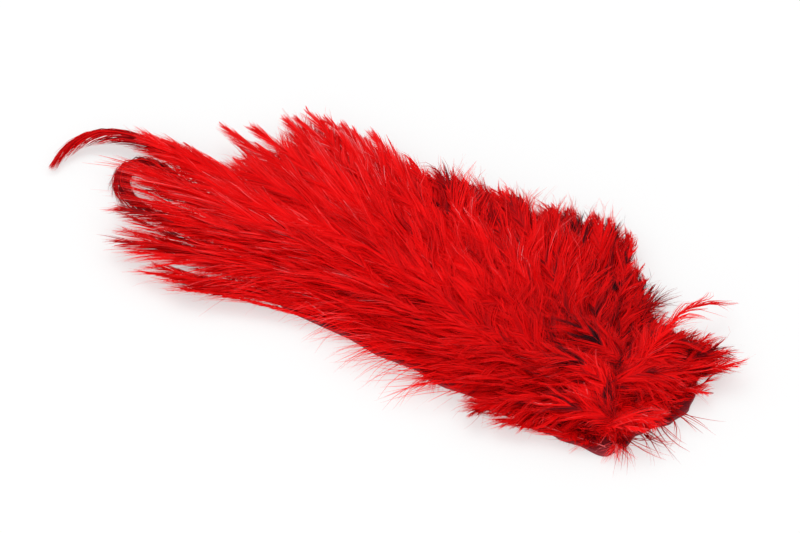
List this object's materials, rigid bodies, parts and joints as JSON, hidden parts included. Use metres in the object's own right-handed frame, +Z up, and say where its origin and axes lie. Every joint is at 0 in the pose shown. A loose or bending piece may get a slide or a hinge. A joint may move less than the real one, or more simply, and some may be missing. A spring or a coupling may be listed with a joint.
{
  "type": "dyed rooster cape",
  "caption": "Flat tanned bird skin with a dense coat of shingled red feathers, short and fluffy at the head end and long and pointed at the other, for tying fishing flies.",
  "frame": {"origin": "middle of the flat flesh side of the skin, on the surface that the cape lies on", "axes": "+X along the cape to the head end with the short feathers, -X to the tips of the long hackles, +Z up through the feather coat, +Y to the far edge"},
  "size_m": [0.2629, 0.1117, 0.0205],
  "materials": {
    "skin": "tanned hide, dyed dark red, matt",
    "crown_feathers": "short webby feathers, dyed red with darker bases, soft sheen",
    "body_feathers": "soft feathers, dyed red, soft sheen",
    "hackles": "long pointed hackles, dyed bright red, light sheen",
    "plume": "soft plume, dyed red",
    "dark_hackles": "hackles dyed dark maroon red",
    "down": "fluffy down, dyed light red",
    "dark_down": "fluffy down, dyed dark maroon red"
  },
  "bodies": {
    "cape": {"skin": "skin", "crown_whorl": "crown_feathers", "crown_row_1": "crown_feathers", "crown_row_2": "crown_feathers", "crown_row_3": "crown_feathers", "crown_row_4": "crown_feathers", "body_row_1": "body_feathers", "body_row_2": "body_feathers", "body_row_3": "body_feathers", "body_row_4": "body_feathers", "body_row_5": "body_feathers", "body_row_6": "body_feathers", "hackle_row_1": "hackles", "hackle_row_2": "hackles", "hackle_row_3": "hackles", "hackle_row_4": "hackles", "hackle_row_5": "hackles", "hackle_row_6": "hackles", "hackle_row_7": "hackles", "hackle_row_8": "hackles", "hackle_row_9": "hackles", "edge_tuft": "dark_down", "down_tuft": "down", "corner_tuft": "down"},
    "crown_feather": {"crown_feather": "crown_feathers"},
    "head_plume": {"head_plume": "plume"},
    "curled_hackle": {"curled_hackle": "dark_hackles"},
    "looped_hackle": {"looped_hackle": "dark_hackles"},
    "corner_feather": {"corner_feather": "body_feathers"}
  },
  "joints": [
    {"name": "crown_feather_lift", "type": "hinge", "parent": "cape", "child": "crown_feather", "pos_m": [0.09187, -0.03034, 0.00195], "axis": [0.2079, 0.9781, 0], "range_deg": [0, 35], "stiffness_Nm_per_rad": 0.0001},
    {"name": "head_plume_lift", "type": "hinge", "parent": "cape", "child": "head_plume", "pos_m": [0.0962, -0.02803, 0.00195], "axis": [0.9272, -0.3746, 0], "range_deg": [0, 30], "stiffness_Nm_per_rad": 0.0002},
    {"name": "curled_hackle_sweep", "type": "hinge", "parent": "cape", "child": "curled_hackle", "pos_m": [-0.04351, 0.00456, 0.00195], "axis": [0.0432, -0.0061, 0.999], "range_deg": [-8, 0], "stiffness_Nm_per_rad": 0.0005},
    {"name": "looped_hackle_sweep", "type": "hinge", "parent": "cape", "child": "looped_hackle", "pos_m": [-0.04681, -0.01258, 0.00195], "axis": [0.0421, -0.0113, 0.999], "range_deg": [0, 8], "stiffness_Nm_per_rad": 0.0005},
    {"name": "corner_feather_sweep", "type": "hinge", "parent": "cape", "child": "corner_feather", "pos_m": [0.102, -0.053, 0.00195], "axis": [0.0337, 0.009, 0.9994], "range_deg": [0, 18], "stiffness_Nm_per_rad": 0.0003}
  ]
}
